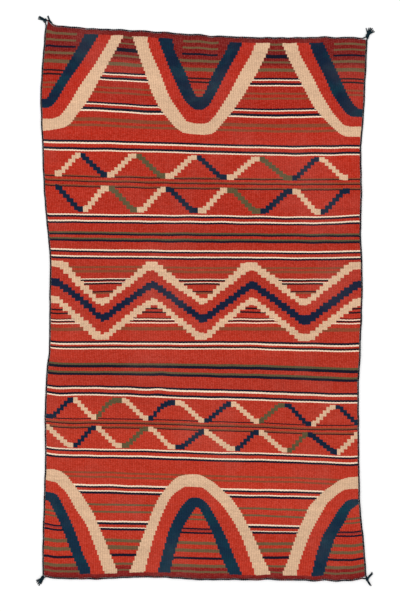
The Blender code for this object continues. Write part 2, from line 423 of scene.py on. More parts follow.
def add_spline(curve, points, radii):
    """A run of straight pieces through points, with its own radius at each."""
    spline = curve.splines.new("POLY")
    spline.points.add(len(points) - 1)
    for point, place, radius in zip(spline.points, points, radii):
        point.co = (*place, 1.0)
        point.radius = radius


def new_yarn_curve(name, sides):
    """An empty curve for round yarn; radii are given in metres at its points."""
    curve = bpy.data.curves.new(name, "CURVE")
    curve.dimensions = "3D"
    curve.twist_mode = "Z_UP"
    curve.bevel_depth = 1.0
    curve.bevel_resolution = sides // 2 - 2
    curve.use_fill_caps = True
    return curve


def finished_yarn(curve, name):
    """The curve as a mesh piece with welded caps and smooth faces."""
    deselect()
    piece = bpy.data.objects.new(name, curve)
    bpy.context.scene.collection.objects.link(piece)
    select_only(piece)
    bpy.ops.object.convert(target="MESH")
    piece = bpy.context.object
    piece.name = piece.data.name = name
    piece.data.uv_layers[0].name = "twist"
    bpy.ops.object.mode_set(mode="EDIT")
    bpy.ops.mesh.select_all(action="SELECT")
    bpy.ops.mesh.remove_doubles(threshold=0.000002)
    bpy.ops.mesh.normals_make_consistent(inside=False)
    bpy.ops.object.mode_set(mode="OBJECT")
    bpy.ops.object.shade_smooth()
    return piece


def twisted(path, radius, turn_length, start_turn):
    """One ply's line round a path of points, given as 3-D places."""
    line, turn = [], start_turn
    for i, place in enumerate(path):
        ahead = (path[min(i + 1, len(path) - 1)] - path[max(i - 1, 0)]).normalized()
        aside = ahead.cross(Vector((0.0, 0.0, 1.0)))
        aside = aside.normalized() if aside.length > 1e-6 else Vector((1.0, 0.0, 0.0))
        over = aside.cross(ahead)
        if i:
            turn += 2 * math.pi * (place - path[i - 1]).length / turn_length
        line.append(place + (aside * math.cos(turn) + over * math.sin(turn)) * radius)
    return line


def make_cord(node, edge, first, joins, leaves, last, turn_length):
    """An edge cord: two strands twisted together along the web's edge, from knot to knot."""
    line = shortened(set_off(web_edge(edge), CORD_DIAMETER / 2 + GAP), joins * MM)
    line = shortened(line[::-1], leaves * MM)[::-1]
    knots = [Vector(TASSELS[k]["knot"]) * MM for k in (first, last)]
    line = [knots[0]] + line + [knots[1]]
    line = eased(in_even_steps(line, turn_length / TURN_STEPS), 4)
    path = [Vector((p.x, p.y, rise(p.x, p.y) + CORD_DIAMETER / 2 + CORD_CLEAR)) for p in line]
    curve = new_yarn_curve(node, 8)
    for start_turn in (0.0, math.pi):
        places = twisted(path, CORD_DIAMETER / 2 - STRAND_RADIUS, turn_length, start_turn)
        radii = [STRAND_RADIUS * (1 + SPUN_UNEVEN * noise.noise(p * 90)) for p in places]
        add_spline(curve, places, radii)
    return finished_yarn(curve, f"twisted_{node}")


def knot_path(centre, half_sizes):
    """The line of a yarn tied in a tight overhand knot that fills the given half sizes, in mm."""
    places = []
    for k in range(KNOT_STEPS + 1):
        t = 2 * math.pi * k / KNOT_STEPS
        x = (math.sin(t) + 2 * math.sin(2 * t)) / 2.76
        y = (math.cos(t) - 2 * math.cos(2 * t)) / 3.0
        z = -math.sin(3 * t)
        reach = [half * MM - YARN_RADIUS for half in half_sizes]
        places.append(Vector((centre[0] * MM + x * reach[0], centre[1] * MM + y * reach[1],
                              half_sizes[2] * MM + z * reach[2])))
    return places


def make_tassel(name, sizes):
    """A corner tassel: a tied knot of two-ply yarn, and yarn ends that fray into hairs."""
    curve = new_yarn_curve(name, 6)
    route = knot_path(sizes["knot"], sizes["half_sizes"])
    for start_turn in (0.0, math.pi):
        places = twisted(route, YARN_RADIUS - PLY_RADIUS, KNOT_TURN, start_turn)
        add_spline(curve, places, [PLY_RADIUS * KNOT_PLY] * len(places))
    middle = Vector((*sizes["knot"], sizes["half_sizes"][2])) * MM
    core = [middle + Vector((0.0, step * MM, 0.0)) for step, _ in CORE]
    add_spline(curve, core, [share * CORE_RADIUS for _, share in CORE])
    for number, yarn in enumerate(sizes["yarns"]):
        line = [Vector(p) * MM for p in yarn]
        line = eased(in_even_steps(line, 0.8 * MM), 3)
        last = len(line) - 1
        path = []
        for i, place in enumerate(line):
            share = i / last
            radius = YARN_RADIUS - PLY_THINS * PLY_RADIUS * share**2
            start = sizes["half_sizes"][2] * MM
            path.append(Vector((place.x, place.y, radius + (start - radius) * max(0.0, 1 - 3 * share) ** 2)))
        for start_turn in (0.0, math.pi):
            places = twisted(path, YARN_RADIUS - PLY_RADIUS, YARN_TURN, start_turn + number)
            radii = [PLY_RADIUS * (1 - PLY_THINS * (i / last) ** 2) for i in range(last + 1)]
            add_spline(curve, places, radii)
        fray_from = int(last * FRAY_FROM)
        ahead = (line[-1] - line[fray_from]).normalized()
        aside = Vector((-ahead.y, ahead.x))
        for hair in range(HAIRS):
            lean = (hair - HAIRS // 2) / (HAIRS // 2)
            start = line[fray_from + hair % 3]
            places = []
            for k in range(HAIR_STEPS + 1):
                s = k / HAIR_STEPS
                waver = noise.noise(Vector((hair * 3.1, number * 7.3, k * 0.9)))
                spread = FRAY_SPREAD * lean * s + 0.5 * waver * s
                place = start.lerp(line[-1], s) + aside * MM * spread
                height = YARN_RADIUS * (0.5 + 0.5 * math.cos(hair * 2.4)) * (1 - 0.4 * s) + HAIR_RADIUS
                places.append(Vector((place.x, place.y, height)))
            radii = [HAIR_RADIUS * (1.3 - 0.9 * k / HAIR_STEPS) for k in range(HAIR_STEPS + 1)]
            add_spline(curve, places, radii)
    return finished_yarn(curve, f"frayed_tassel_{name}")


# Colours of the wool as they show in soft daylight, in the 0 to 255 values of a paint chart
RED = (172, 34, 16)
ORANGE_RED = (178, 44, 24)
CREAM = (209, 172, 140)
BLEACHED = (236, 210, 184)
NAVY = (14, 31, 52)
SEA_NAVY = (15, 40, 60)
MIDDLE_NAVY = (17, 28, 52)
TEAL = (12, 52, 66)
DARK = (18, 18, 34)
OLIVE = (106, 82, 56)
GREEN = (90, 78, 52)
BROWN = (132, 68, 44)
BLACK = (36, 18, 24)
PURPLE = (122, 44, 48)
PALE_FIBRE_AND_HIGHLIGHT = (235, 220, 205)   # pale loose fibre ends, also a painted highlight on the ribs' crests, and the paler colour of worn wool


def linear(colour):
    """A paint chart colour in the linear values that a shader takes."""
    values = [c / 255 for c in colour]
    return tuple(v / 12.92 if v <= 0.04045 else ((v + 0.055) / 1.055) ** 2.4 for v in values) + (1.0,)


# Node helpers

def maths(tree, operation, first, second=None, third=None):
    """A Math node; each input is a number or another node's output."""
    node = tree.nodes.new("ShaderNodeMath")
    node.operation = operation
    for socket, value in zip(node.inputs, (first, second, third)):
        if isinstance(value, bpy.types.NodeSocket):
            tree.links.new(value, socket)
        elif value is not None:
            socket.default_value = value
    return node.outputs[0]


def times(tree, first, second):
    return maths(tree, "MULTIPLY", first, second)


def above(tree, first, second):
    return maths(tree, "GREATER_THAN", first, second)


def below(tree, first, second):
    return maths(tree, "LESS_THAN", first, second)


def laid_over(tree, mask, under, over, blend="MIX"):
    """A colour laid over another where the mask is 1."""
    node = tree.nodes.new("ShaderNodeMix")
    node.data_type = "RGBA"
    node.blend_type = blend
    for socket, value in ((node.inputs["Factor"], mask), (node.inputs[6], under), (node.inputs[7], over)):
        if isinstance(value, bpy.types.NodeSocket):
            tree.links.new(value, socket)
        elif isinstance(value, (int, float)):
            socket.default_value = value
        else:
            socket.default_value = linear(value)
    return node.outputs[2]


def share_of(tree, value, low, high):
    """Where a value lies between two heights, from 0 to 1."""
    node = tree.nodes.new("ShaderNodeMapRange")
    tree.links.new(value, node.inputs["Value"])
    node.inputs["From Min"].default_value = low
    node.inputs["From Max"].default_value = high
    return node.outputs["Result"]


def charted(tree, warp, chart):
    """The height, in mm of cloth, of a charted line at a warp. A chart is a run of (warp, height) corners."""
    low = min(height for _, height in chart)
    high = max(height for _, height in chart)
    node = tree.nodes.new("ShaderNodeFloatCurve")
    curve = node.mapping.curves[0]
    places = [(w / WARPS, (height - low) / (high - low)) for w, height in chart]
    while len(curve.points) < len(places):
        curve.points.new(0.5, 0.5)
    for point, place in zip(curve.points, places):
        point.location = place
        point.handle_type = "VECTOR"
    node.mapping.update()
    tree.links.new(warp, node.inputs["Value"])
    return maths(tree, "MULTIPLY_ADD", node.outputs[0], high - low, low)


def ramp(tree, value, stops, interpolation="LINEAR"):
    """A colour ramp with (place, colour, opacity) stops. Gives its colour and its opacity."""
    node = tree.nodes.new("ShaderNodeValToRGB")
    node.color_ramp.interpolation = interpolation
    elements = node.color_ramp.elements
    while len(elements) < len(stops):
        elements.new(0.5)
    while len(elements) > len(stops):
        elements.remove(elements[-1])
    for element, (place, colour, opacity) in zip(elements, stops):
        element.position = place
        element.color = linear(colour)[:3] + (opacity,)
    tree.links.new(value, node.inputs["Fac"])
    return node.outputs["Color"], node.outputs["Alpha"]


def striped(tree, height, rows):
    """Stripes right across the cloth. Rows are (from, to, colour) from the lowest up, in mm of cloth."""
    low, high = rows[0][0] - 2, rows[-1][1] + 2
    starts = [start for start, _, _ in rows]
    stops = [(0.0, rows[0][2], 0.0)]
    for start, end, colour in rows:
        stops.append(((start - low) / (high - low), colour, 1.0))
        if end not in starts:
            stops.append(((end - low) / (high - low), colour, 0.0))
    return ramp(tree, share_of(tree, height, low, high), stops, "CONSTANT")


def coloured_runs(tree, warp, runs):
    """Colours that change at given warps. Runs are (first warp, colour)."""
    return ramp(tree, warp, [(w / WARPS, colour, 1.0) for w, colour in runs], "CONSTANT")[0]


# The chart of the big zigzags at the top end: corners of the lines' lower and upper edges, as (warp, mm)
TOP_FROM, TOP_TO = 1046, 1276.5
TOP_CREAM_LOW = (
    (0, 1052), (8, 1057), (12.5, 1061), (16, 1070), (19.5, 1090), (22, 1101), (25.5, 1120), (29.5, 1150),
    (35, 1200), (40, 1245), (43.5, 1277), (45.8, 1300), (48.3, 1277), (51, 1250), (56, 1200), (61, 1150),
    (65, 1120), (67.5, 1105), (71, 1088), (75, 1070), (79.5, 1057), (84, 1054), (91, 1053), (95.5, 1056),
    (98, 1063), (103, 1090), (107.5, 1115), (113, 1150), (119.5, 1200), (124.5, 1250), (126.5, 1277),
    (129.5, 1300), (132.5, 1277), (135.5, 1250), (141.5, 1200), (148.5, 1150), (153, 1120), (157, 1102),
    (161, 1085), (165, 1070), (168.5, 1058), (172, 1052), (180, 1052),
)
TOP_CREAM_HIGH = (
    (0, 1080), (6, 1080), (10, 1086), (13, 1100), (16.5, 1120), (20.5, 1150), (28, 1200), (34, 1250),
    (37, 1280), (38, 1300), (56, 1300), (56.5, 1277), (58.5, 1250), (64.5, 1200), (70, 1150), (73, 1130),
    (78.5, 1100), (81.5, 1084), (86, 1079), (91, 1079), (94, 1083), (97.5, 1100), (104.5, 1150), (110, 1200),
    (116, 1250), (118, 1277), (118.6, 1300), (140.6, 1300), (141, 1277), (143, 1250), (149.5, 1200),
    (156.5, 1150), (163, 1110), (166, 1096), (170, 1079), (174, 1075), (180, 1076),
)
TOP_NAVY_LOW = (
    (0, 1103), (3, 1103), (6, 1108), (8.5, 1120), (14, 1160), (20, 1200), (26.5, 1250), (29.5, 1277),
    (31, 1300), (61, 1300), (62.5, 1277), (65.5, 1250), (71, 1200), (77.5, 1150), (80, 1133), (83.5, 1119),
    (86, 1112), (90.5, 1112), (94, 1124), (97, 1150), (102.5, 1200), (108, 1250), (110.5, 1277), (112, 1300),
    (147, 1300), (148, 1277), (150.5, 1250), (156.5, 1200), (162.5, 1150), (168, 1120), (171, 1105),
    (174, 1098), (180, 1098),
)
TOP_NAVY_HIGH = (
    (0, 1122), (3, 1123), (5, 1140), (10.5, 1180), (13, 1200), (19, 1250), (21.5, 1277), (22, 1300),
    (70.7, 1300), (71, 1275), (72.5, 1250), (79.5, 1200), (84, 1160), (86.6, 1143), (89.6, 1143),
    (91.5, 1160), (95, 1200), (101, 1250), (103, 1277), (103.5, 1300), (155.3, 1300), (155.6, 1277),
    (159, 1250), (165, 1200), (171, 1150), (175, 1125), (178, 1116), (180, 1116),
)

# The same at the bottom end
BOTTOM_FROM, BOTTOM_TO = 9.5, 256
BOTTOM_CREAM_HIGH = (
    (0, 245), (4, 249), (8, 246), (12, 235), (14, 224), (16.5, 212), (21, 190), (24, 172), (28, 147),
    (31.5, 113), (35, 80), (38.5, 42), (40, 28), (41.3, 9), (42, -14), (47, -14), (47.6, 9), (50, 32),
    (53, 68), (57, 107), (61, 150), (65, 187), (69.5, 212), (73, 230), (76, 240), (80, 245), (84, 247),
    (88, 247), (91, 242), (97, 228), (102, 210), (107, 192), (112, 162), (116, 128), (120, 88), (124, 45),
    (126, 28), (127, 9), (127.6, -14), (133, -14), (133.7, 14), (137, 42), (141, 85), (145, 127), (149, 158),
    (151.5, 178), (156, 197), (161, 218), (166, 233), (169, 243), (172, 248), (175, 252), (180, 252),
)
BOTTOM_CREAM_LOW = (
    (0, 219), (6, 218), (9, 206), (11, 200), (14, 183), (18, 155), (23, 128), (25, 112), (28.5, 75),
    (31.5, 40), (34, 10), (35, -14), (55.5, -14), (56.3, 9), (58.5, 45), (62, 95), (66, 138), (70, 175),
    (72, 190), (75, 203), (80, 217), (90, 217), (93, 209), (96, 197), (100, 183), (103, 168), (108, 136),
    (112, 100), (116, 50), (118.7, 9), (119.5, -14), (141, -14), (141.7, 10), (143, 32), (147.5, 78),
    (151, 112), (155, 142), (160, 175), (162, 188), (165, 198), (168, 210), (172, 221), (176, 223),
    (180, 222),
)
BOTTOM_NAVY_HIGH = (
    (0, 192), (5, 192), (7, 188), (9, 175), (13, 145), (17, 110), (20, 78), (22, 55), (26, 22), (26.5, 6),
    (27, -14), (63, -14), (63.7, 10), (66, 45), (70, 105), (74, 142), (78, 170), (82, 188), (84, 192),
    (88, 192), (91, 186), (94, 174), (97, 152), (100, 128), (104, 92), (108, 45), (110, 25), (111.2, 9),
    (112, -14), (149, -14), (150, 12), (154, 65), (158, 108), (163, 142), (168, 172), (173, 194), (176, 198),
    (180, 197),
)
BOTTOM_NAVY_LOW = (
    (0, 172), (2, 172), (6, 146), (10, 115), (14, 73), (17.5, 38), (19, 22), (20.5, 10), (21.5, -14),
    (69.8, -14), (70.5, 10), (74, 65), (78, 115), (82, 142), (85.5, 163), (86.5, 168), (88, 168), (92, 140),
    (96, 102), (100, 52), (104, 10), (105, -14), (156, -14), (157, 12), (161, 60), (165, 105), (171, 143),
    (175, 172), (178, 180), (180, 185),
)

# The zigzag in the middle, woven in broader steps, and the width of those steps and of the stepped rows'
STAIR_WARPS = 2.4
ROW_STEP_WARPS = 2
ODD_WARP_LIFT = 0.35      # mm by which a pick lies higher over every other warp
MIDDLE_UPPER_HIGH = (
    (0, 751), (8, 751), (9, 744), (27.5, 666), (32, 666), (54, 742), (55, 751), (63, 751), (63.5, 742),
    (87, 666), (90.5, 665), (94, 684), (111, 745), (112, 751), (120.5, 751), (121, 744), (132, 711),
    (144, 665), (149, 664), (172, 746), (172.5, 751), (180, 751),
)
MIDDLE_UPPER_LOW = (
    (0, 738), (5, 736), (13, 704), (26, 656), (30, 648), (31, 649), (57, 731), (60, 731), (67, 705),
    (88, 650), (89, 651), (115, 732), (118, 732), (145, 649), (149, 649), (174, 729), (175.5, 733),
    (180, 733),
)
MIDDLE_NAVY_HIGH = (
    (0, 712), (4, 712), (15, 680), (24, 650), (28.5, 628), (31, 628), (58, 706), (60, 706), (87, 628),
    (89.5, 627), (115.5, 706), (118, 706), (145, 627), (150, 626), (176, 705), (180, 707),
)
MIDDLE_NAVY_LOW = (
    (0, 696), (4, 694), (15, 662), (29.5, 609), (31, 609), (58, 688), (60, 688), (88, 606), (89, 606),
    (116, 687), (118, 687), (146, 604), (150, 604), (178, 689), (180, 690),
)
MIDDLE_LOWER_HIGH = (
    (0, 673), (4, 672), (30, 579), (31, 580), (49, 641), (58, 664), (59, 667), (60.5, 666), (86, 585),
    (90, 582), (101, 622), (116, 667), (118, 667), (145, 585), (150, 583), (176, 664), (180, 667),
)
MIDDLE_LOWER_LOW = (
    (0, 656), (4, 656), (25, 570), (26, 567), (33, 567), (34, 573), (59, 650), (61, 650), (84, 571),
    (85, 567), (91.5, 567), (92.5, 573), (115, 649), (118, 650), (142, 576), (144, 567), (152, 567),
    (153, 573), (177, 646), (180, 648),
)

# The four rows of stepped triangles: the middle of each line, and the warps at which its colour changes
ROW_1 = (
    (0, 955), (8.5, 953), (19.5, 1001), (21.5, 1001), (34, 953), (38, 952), (50.5, 1001), (54, 1001),
    (66.5, 952), (72, 952), (85, 1001), (88, 1001), (101, 952), (107, 952), (120.5, 1001), (124, 1001),
    (138, 952), (143, 952), (155, 1001), (158.5, 1001), (170, 952), (180, 952),
)
ROW_1_COLOURS = (
    (0, CREAM), (20.8, NAVY), (35.8, CREAM), (52.5, GREEN), (68.5, CREAM), (87, NAVY), (104, CREAM),
    (123, GREEN), (141, NAVY), (156.5, CREAM),
)
ROW_2 = (
    (0, 926), (7, 924), (19, 871), (22.5, 871), (34, 924), (38, 924), (50, 871), (55, 871), (67, 924),
    (71, 924), (84, 871), (90, 871), (102, 924), (107, 924), (120, 871), (125, 871), (139, 924),
    (143.5, 924), (155, 871), (159, 871), (171, 924), (180, 926),
)
ROW_2_COLOURS = (
    (0, NAVY), (20.5, CREAM), (36, GREEN), (52, CREAM), (68.5, NAVY), (87, CREAM), (104, GREEN),
    (122.5, NAVY), (141, CREAM), (157, NAVY),
)
ROW_3 = (
    (0, 373), (3.5, 375), (13, 416), (16.5, 417), (27, 375), (30, 377), (33, 395), (36, 408), (40, 417),
    (45.5, 417), (57, 375), (61, 375), (66, 403), (69, 411), (72, 416), (78, 416), (90, 373), (93, 373),
    (104.5, 415), (109, 417), (121, 375), (124, 376), (135, 418), (140, 420), (151, 374), (154.5, 374),
    (165, 418), (169, 420), (180, 374),
)
ROW_3_COLOURS = (
    (0, NAVY), (14.8, CREAM), (28.4, GREEN), (43, CREAM), (59, NAVY), (74.5, CREAM), (91.3, NAVY),
    (106.8, CREAM), (122.5, GREEN), (137.5, NAVY), (153, CREAM), (167, NAVY),
)
ROW_4 = (
    (0, 353), (13, 308), (17, 308), (27, 353), (30, 352), (41, 308), (46, 308), (57, 352), (61, 352),
    (72, 308), (78, 308), (90, 350), (93, 348), (106.5, 308), (110.5, 308), (121, 351), (125, 350),
    (137, 308), (141, 308), (150, 352), (153, 350), (166, 310), (169, 310), (180, 352),
)
ROW_4_COLOURS = (
    (0, CREAM), (15, NAVY), (28.2, CREAM), (43.2, GREEN), (59, CREAM), (74.5, NAVY), (91.3, CREAM),
    (108.6, NAVY), (122.6, CREAM), (139, GREEN), (151, NAVY), (167.5, CREAM),
)
ROWS_OF_STEPS = (
    # middle line, colours, half its height, cut off below and above, first and last warp
    (ROW_1, ROW_1_COLOURS, 8, 947, 1004, 6, 173),
    (ROW_2, ROW_2_COLOURS, 9, 867, 928, 6, 174),
    (ROW_3, ROW_3_COLOURS, 7.2, 370, 422, 0, 180),
    (ROW_4, ROW_4_COLOURS, 7.6, 304, 356, 0, 180),
)

# Stripes, from the lowest up: from and to, in mm of cloth, and the yarn
MARGIN_STRIPES_TOP = (
    (1146, 1150.5, BROWN), (1156, 1160.5, BROWN), (1175.5, 1179.5, BLACK), (1184, 1188, BLACK),
    (1203, 1212, OLIVE), (1225, 1231, OLIVE),
)
SHORT_STRIPES_TOP = ((1241, 1246, DARK), (1256, 1260.5, OLIVE), (1270.5, 1276, OLIVE))
SHORT_STRIPE_RUNS = ((0, 17), (77, 97), (162, 180))    # first and last warps
ARCH_STRIPES_TOP = (
    (1063, 1069, BROWN), (1075, 1083, BROWN), (1098, 1101.5, BLEACHED), (1101.5, 1107, DARK),
    (1112.5, 1115.5, BLEACHED), (1115.5, 1120, DARK), (1139, 1143, BROWN), (1150, 1154, BROWN),
    (1169, 1171.5, BLEACHED), (1171.5, 1176, DARK), (1181, 1183.5, BLEACHED), (1183.5, 1188, DARK),
    (1203, 1212, OLIVE), (1225, 1230, OLIVE), (1238, 1247, DARK), (1256, 1260, OLIVE), (1270, 1275, OLIVE),
)
MARGIN_STRIPES_BOTTOM = (
    (13, 18, OLIVE), (26, 33, OLIVE), (45, 50.5, DARK), (62, 70, OLIVE), (80, 87, OLIVE),
    (105.5, 109.5, DARK), (112.5, 114.5, PURPLE), (115.5, 119.5, DARK), (138, 142, OLIVE), (148, 153, OLIVE),
)
ARCH_STRIPES_BOTTOM = (
    (14, 18, OLIVE), (28, 34, OLIVE), (48, 55, DARK), (64, 73, OLIVE), (81, 88, OLIVE), (108, 113.5, DARK),
    (113.5, 116, BLEACHED), (122, 127.5, DARK), (127.5, 131, BLEACHED), (150, 154, OLIVE), (166, 171, OLIVE),
    (193.5, 198.5, DARK), (198.5, 201, BLEACHED), (207, 212, DARK), (212, 215, BLEACHED), (231, 236, BROWN),
    (241, 246, BROWN),
)
FULL_STRIPES = (
    ((278, 283, DARK), (283, 286.5, BLEACHED), (294, 298.5, DARK), (298.5, 301.5, BLEACHED)),
    ((350, 352.5, BLACK), (352.5, 356, BROWN), (360.5, 363, BLACK), (363, 367, BROWN), (371.5, 374, BLACK)),
    ((426, 429, BLEACHED), (429, 434, DARK), (442, 446, BLEACHED), (446, 451, DARK), (477.5, 483.5, DARK),
     (483.5, 488.5, GREEN), (497.5, 504.5, DARK), (504.5, 509.5, GREEN)),
    ((544, 547, BLEACHED), (547, 551.5, BLACK), (555.5, 559, BLEACHED), (559, 564, DARK)),
    ((756, 760.5, DARK), (760.5, 763.5, BLEACHED), (771, 775.5, DARK), (775.5, 779, BLEACHED),
     (797, 802, DARK), (802, 806, GREEN), (812.5, 817, DARK), (817, 820.5, GREEN), (840.5, 845, DARK),
     (845, 848.5, BLEACHED), (855, 859.5, DARK), (859.5, 862.5, BLEACHED)),
    ((923.5, 926, BLACK), (926, 929, BROWN), (935.5, 938, BLACK), (938, 941.5, BROWN), (947, 949.5, BLACK),
     (949.5, 952, BROWN)),
    ((1007.5, 1010.5, BLEACHED), (1010.5, 1016, DARK), (1024.5, 1028, BLEACHED), (1028, 1033, DARK)),
)
MIDDLE_UPPER_STRIPES = (
    (675, 679, BROWN), (679, 682, BLACK), (697, 701.5, BLACK), (701.5, 703, BLEACHED), (705, 709.5, BLACK),
    (709.5, 711.5, BLEACHED), (725, 731, BROWN), (735, 740, BROWN),
)
MIDDLE_LOWER_STRIPES = (
    (589, 597, BROWN), (606, 608.5, BLEACHED), (610, 613.5, BLACK), (614, 616.5, BLEACHED), (617, 619, BLACK),
    (630, 634, BLACK), (639, 643, BLACK),
)

# The plain red ground from the bottom end up: mm of cloth, and the colour of the yarn there
GROUND = (
    (0, (124, 16, 14)), (26, (127, 16, 14)), (27, (174, 42, 21)), (200, (178, 44, 23)), (290, (176, 43, 22)),
    (350, (177, 47, 27)), (440, (167, 41, 23)), (510, (168, 41, 23)), (550, (175, 43, 23)),
    (660, (170, 41, 24)), (760, (167, 39, 21)), (860, (168, 36, 17)), (1010, (172, 36, 15)),
    (1060, (171, 34, 14)), (1150, (160, 28, 10)), (1200, (152, 28, 11)), (1219, (146, 25, 11)),
    (1221, (116, 12, 8)), (1287, (115, 14, 11)),
)


def place_in_cloth(tree):
    """The map itself, the share of the width, the warp's number and the height in mm of cloth."""
    uv = tree.nodes.new("ShaderNodeUVMap")
    uv.uv_map = "weave"
    split = tree.nodes.new("ShaderNodeSeparateXYZ")
    tree.links.new(uv.outputs["UV"], split.inputs[0])
    across, along = split.outputs[0], split.outputs[1]
    counted = maths(tree, "FLOOR", times(tree, across, WARPS))
    odd = maths(tree, "MODULO", counted, 2.0)
    height = maths(tree, "MULTIPLY_ADD", along, CLOTH_LENGTH, times(tree, odd, ODD_WARP_LIFT))
    return uv.outputs["UV"], across, counted, height


def in_steps(tree, counted, warps):
    """The middle of a warp's step as a share of the width; steps are whole warps wide, so many on average."""
    step = maths(tree, "FLOOR", maths(tree, "DIVIDE", maths(tree, "ADD", counted, 0.5), warps))
    return times(tree, maths(tree, "ADD", step, 0.5), warps / WARPS)


def uneven(tree, weave, scale, low, high):
    """Cloudy unevenness from 0 to 1, drawn out by its own scale across and along the cloth."""
    stretch = tree.nodes.new("ShaderNodeMapping")
    stretch.inputs["Scale"].default_value = (*scale, 1.0)
    tree.links.new(weave, stretch.inputs["Vector"])
    clouds = tree.nodes.new("ShaderNodeTexNoise")
    clouds.inputs["Scale"].default_value = 1.0
    clouds.inputs["Detail"].default_value = 5.0
    clouds.inputs["Roughness"].default_value = 0.6
    tree.links.new(stretch.outputs[0], clouds.inputs["Vector"])
    return share_of(tree, clouds.outputs["Fac"], low, high)


# The weave's surface
BEAD_HEIGHT = 1.6         # mm of cloth that one bead of yarn covers
BEAD_SHADE = 0.2          # how much the beads differ in tone
GROOVE_SHADE = 0.26       # painted shade: how much darker the grooves are than the ribs
FUZZ_AND_HIGHLIGHT_SHARE = 0.04        # how much pale fibre colour is laid on the ribs' crests, as fuzz and as painted highlight
WEB_RELIEF = 0.7 * MM
UNEVEN_DYE = (
    # scale across and along the cloth, and how much the tone differs
    ((5.0, 150.0), 0.12),
    ((0.8, 42.0), 0.14),
    ((3.0, 9.0), 0.08),
    ((90.0, 320.0), 0.16),
)
WORN_PALER = 0.04
WORN_SMOOTHER = 0.12
WOOL_ROUGHNESS = 0.95
WOOL_SPECULAR = 0.08
YARN_RELIEF = 0.3 * MM
DRAWN_OVER = (96, 22, 22)    # the web's red where it is drawn over the cords


